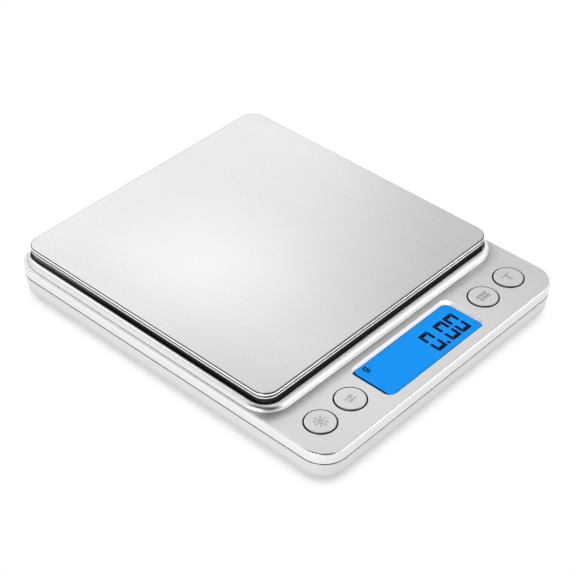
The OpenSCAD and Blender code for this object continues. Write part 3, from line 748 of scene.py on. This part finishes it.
def add_coil(bm, y, side):
    """Conical compression spring from the contact plate at side to the cell's flat end."""
    first = WALL_X - CONTACT_T - 0.8 * WIRE_R
    last = WALL_X - CONTACT_T - SPRING_LONG + WIRE_R
    rings = []
    for i in range(COIL_STEPS + 1):
        t = i / COIL_STEPS
        turn = 2 * math.pi * COIL_TURNS * t
        climb = min(max((t - COIL_FLAT) / (1 - 2 * COIL_FLAT), 0.0), 1.0)
        x = side * (first + (last - first) * climb)
        radius = COIL_WIDE + (COIL_NARROW - COIL_WIDE) * t
        outward = Vector((0, math.cos(turn), math.sin(turn)))
        centre = Vector((x, y, CELL_Z)) + radius * outward
        ring = []
        for k in range(WIRE_AROUND):
            spin = 2 * math.pi * k / WIRE_AROUND
            offset = WIRE_R * (math.cos(spin) * outward + math.sin(spin) * Vector((1, 0, 0)))
            ring.append(bm.verts.new(centre + offset))
        rings.append(ring)
    skin(bm, rings)


def add_contact_plate(bm, side, y_low, y_high, z_low, z_high):
    """Sheet-metal plate with round corners against the bay's end wall, with softened edges."""
    corner = 1.2 * MM
    outline = []
    for y, z, start in (
        (y_high - corner, z_high - corner, 0), (y_low + corner, z_high - corner, 90),
        (y_low + corner, z_low + corner, 180), (y_high - corner, z_low + corner, 270),
    ):
        outline += arc((y, z), corner, start, start + 90)
    soft = 0.08 * MM
    rings = []
    for depth, inset in ((0, soft), (soft, 0), (CONTACT_T - soft, 0), (CONTACT_T, soft)):
        ring = []
        for y, z in outline:
            middle = Vector((0, (y_low + y_high) / 2, (z_low + z_high) / 2))
            inward = (middle - Vector((0, y, z))).normalized() * inset
            ring.append(bm.verts.new(Vector((side * (WALL_X - depth), y, z)) + inward))
        rings.append(ring)
    skin(bm, rings)


def spring_mesh(name, coil_y, side):
    """Contact plate and coil in one mesh; the plate fills the CAD node's own height and width."""
    low, high = Vector(cad_boxes[name][0]), Vector(cad_boxes[name][1])
    bm = bmesh.new()
    add_contact_plate(bm, side, low.y, high.y, low.z, high.z)
    add_coil(bm, coil_y, side)
    return stored(name, bm)


cad_boxes = {
    name: (nodes[name].bound_box[0], nodes[name].bound_box[6])
    for name in ("spring_contact", "bridge_contact")
}
show("cell_right", cell_mesh("cell_right", CELL_Y[0], 1),
     battery_sleeve("battery_sleeve_right", 1.0), "battery_1")
show("cell_left", cell_mesh("cell_left", CELL_Y[1], -1),
     battery_sleeve("battery_sleeve_left", -1.0), "battery_2")
show("coil_contact", spring_mesh("spring_contact", CELL_Y[0], -1), nickel, "spring_contact")
show("bridge_coil", spring_mesh("bridge_contact", CELL_Y[1], 1), nickel, "bridge_contact")


# ---- Stage, light and camera ----

FLOOR_HALF = 4.0
FOCUS = (0, 0.011, 0.01)
# The dark patch behind the camera fades out from the second angle to the first
PATCH_DEGREES = (48, 22)
# Backdrop seen by the camera: how far a view looks up, and the backdrop's strength there
BACKDROP_Z = (0.1, 0.5)
BACKDROP = (1.02, 0.7)
# Where the surroundings turn from horizon to zenith
SKY_Z = (0.25, 0.85)
# Name, place, side of the square and power in watts
SOFTBOXES = (
    ("back_key", (0.05, 0.60, 0.62), 0.45, 2.67),
    ("back_glint", (0.35, 0.43, 0.47), 0.30, 0.25),
    ("left_back_fill", (-0.70, 0.58, 0.63), 0.50, 0.62),
    ("right_front_fill", (0.62, -0.68, 0.57), 0.50, 5.0),
    ("front_fill", (0.2, -0.9, 0.6), 0.50, 3.3),
    ("left_card", (-1.1, -0.35, 0.18), 0.50, 19.0),
)


def add_floor():
    """Square floor at the height of the feet."""
    mesh = bpy.data.meshes.new("floor")
    corners = [(x * FLOOR_HALF, y * FLOOR_HALF, 0) for x, y in ((-1, -1), (1, -1), (1, 1), (-1, 1))]
    mesh.from_pydata(corners, [], [(0, 1, 2, 3)])
    mesh.materials.append(white_floor("floor_white"))
    floor = bpy.data.objects.new("floor", mesh)
    bpy.context.scene.collection.objects.link(floor)


def aim(obj, place, target, roll=0.0):
    """Puts obj at place, looking at target along its own -Z, then turned by roll about that line."""
    direction = Vector(target) - Vector(place)
    turn = direction.to_track_quat("-Z", "Y").to_matrix().to_4x4()
    obj.matrix_world = Matrix.Translation(place) @ turn @ Matrix.Rotation(roll, 4, "Z")


def add_softbox(name, place, side, power):
    """Square area light that looks at the scale."""
    light = bpy.data.lights.new(name, "AREA")
    light.shape = "SQUARE"
    light.size = side
    light.energy = power
    box = bpy.data.objects.new(name, light)
    bpy.context.scene.collection.objects.link(box)
    aim(box, place, FOCUS)


def add_world(horizon, zenith):
    """Grey surroundings: radiance horizon low down, turning to zenith overhead, with a dark
    patch behind the camera that shows in the rounded corners. The camera itself sees a white
    backdrop, light grey when it looks up from below."""
    world = bpy.data.worlds.new("studio")
    t = Tree(world, "ShaderNodeOutputWorld", "Generated")
    rise = t.ramp(t.axis("Z"), *SKY_Z, horizon, zenith)
    outer, inner = (math.cos(math.radians(angle)) for angle in PATCH_DEGREES)
    patch = t.map_range(t.dot(t.coords, TOWARD_CAMERA), outer, inner, 1.0, 0.0)
    patch.interpolation_type = "SMOOTHSTEP"
    choice = t.nodes.new("ShaderNodeMix")
    t.link(t.camera_ray(), choice.inputs[0])
    t.link(t.math("MULTIPLY", rise, patch.outputs["Result"]), choice.inputs[2])
    t.link(t.ramp(t.axis("Z"), *BACKDROP_Z, *BACKDROP), choice.inputs[3])
    background = t.nodes.new("ShaderNodeBackground")
    background.inputs["Color"].default_value = grey(1.0)
    t.link(choice.outputs[0], background.inputs["Strength"])
    t.link(background.outputs["Background"], t.output.inputs["Surface"])
    bpy.context.scene.world = world


def add_camera():
    """The view of the photograph."""
    data = bpy.data.cameras.new("camera")
    data.sensor_width = SENSOR
    data.lens = FOCAL_LENGTH
    data.clip_start = 0.01
    camera = bpy.data.objects.new("camera", data)
    bpy.context.scene.collection.objects.link(camera)
    aim(camera, CAMERA_PLACE, CAMERA_TARGET, CAMERA_ROLL)
    bpy.context.scene.camera = camera


add_floor()
add_world(horizon=1.45, zenith=0.45)
for box in SOFTBOXES:
    add_softbox(*box)
add_camera()
bpy.context.scene.view_settings.view_transform = "Standard"
